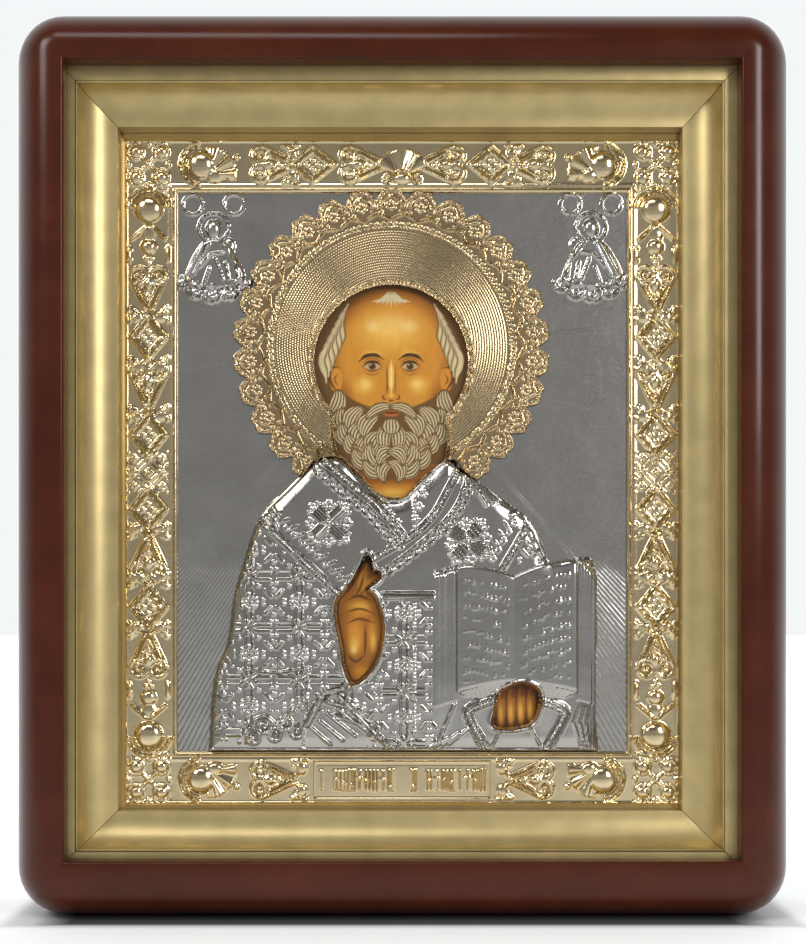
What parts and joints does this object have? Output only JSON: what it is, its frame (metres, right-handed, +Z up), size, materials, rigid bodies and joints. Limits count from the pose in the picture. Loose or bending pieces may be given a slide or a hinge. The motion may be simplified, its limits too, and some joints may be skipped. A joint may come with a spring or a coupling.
{
  "type": "icon panel",
  "caption": "Icon in a lacquered wooden case: painted board under stamped metal sheets, with a raised halo and a mitred cove moulding.",
  "frame": {"origin": "middle of the underside, at the centre of the case's width and depth", "axes": "+Z up, the panel's face towards -Y, +X to the right as seen from the front"},
  "size_m": [0.257, 0.05, 0.3],
  "materials": {
    "lacquered_wood": "dark red-brown gloss lacquer",
    "gilt_moulding": "satin gold leaf finish",
    "painted_board": "painted, satin varnish",
    "gold_sheet": "stamped, polished gold tone",
    "silver_sheet": "stamped, polished silver tone",
    "hardboard": "plain brown hardboard"
  },
  "bodies": {
    "root": {"case_frame": "lacquered_wood", "liner_bottom": "gilt_moulding", "liner_right": "gilt_moulding", "liner_top": "gilt_moulding", "liner_left": "gilt_moulding", "icon_board": "painted_board", "border_sheet": "gold_sheet", "figure_cover": "silver_sheet", "halo": "gold_sheet", "back_board": "hardboard"}
  },
  "joints": []
}
